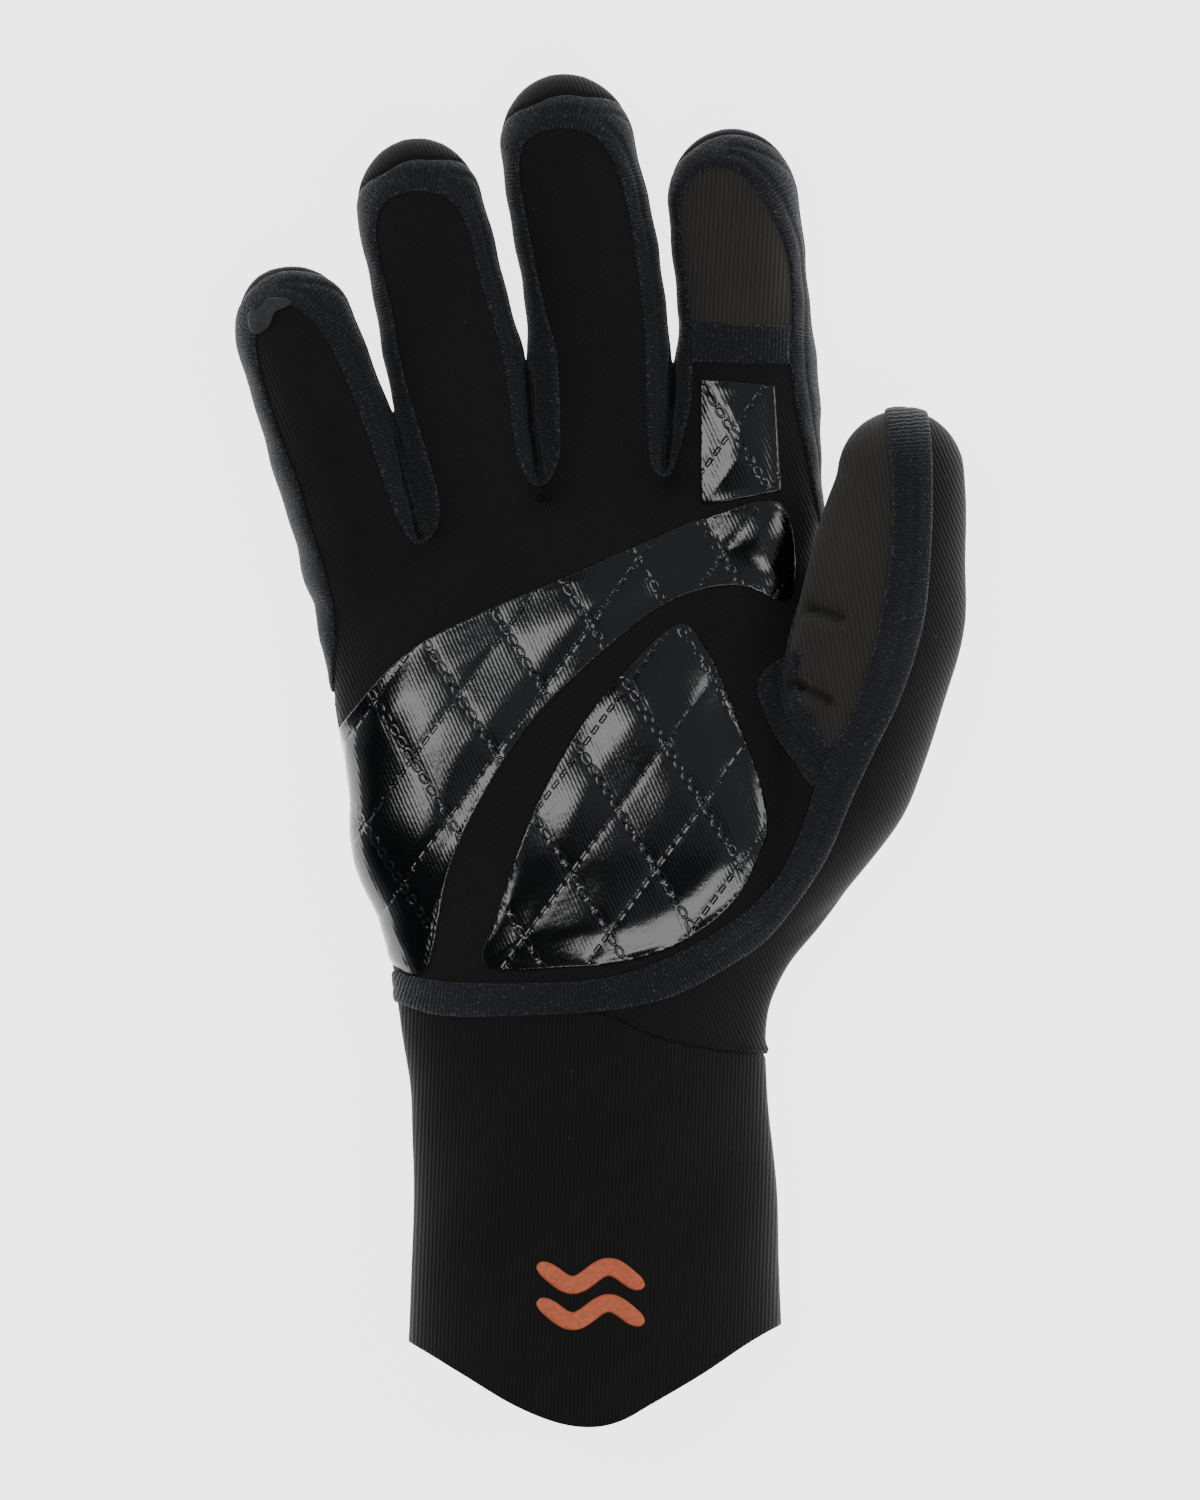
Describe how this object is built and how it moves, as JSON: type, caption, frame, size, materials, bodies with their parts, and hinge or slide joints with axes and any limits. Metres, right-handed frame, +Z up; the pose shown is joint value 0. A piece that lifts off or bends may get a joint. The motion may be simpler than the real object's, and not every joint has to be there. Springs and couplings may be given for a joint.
{
  "type": "fishing glove",
  "caption": "Right-hand neoprene fishing glove lying palm up, with taped seams, glossy quilted palm grip prints and a long pointed cuff.",
  "frame": {"origin": "on the surface that the glove lies on, under the middle of its whole spread", "axes": "+X across the palm towards the thumb, +Y towards the fingertips, +Z up out of the palm"},
  "size_m": [0.1645, 0.3011, 0.0401],
  "materials": {
    "black_neoprene": "matt knit face",
    "ribbed_knit": "matt fine rib",
    "seam_tape": "matt heathered knit",
    "grip_print": "gloss",
    "orange_print": "matt"
  },
  "bodies": {
    "root": {"cuff": "black_neoprene", "back_panel": "black_neoprene", "palm_panel": "black_neoprene", "index_tip_panel": "ribbed_knit", "thumb_panel": "ribbed_knit", "finger_seam_tape": "seam_tape", "index_cross_tape": "seam_tape", "thumb_wrist_tape": "seam_tape", "thumb_crotch_tape": "seam_tape", "palm_side_tape": "seam_tape", "grip_print_upper": "grip_print", "grip_print_lower": "grip_print", "grip_print_index": "grip_print", "cuff_emblem_bar_upper": "orange_print", "cuff_emblem_bar_lower": "orange_print"}
  },
  "joints": []
}
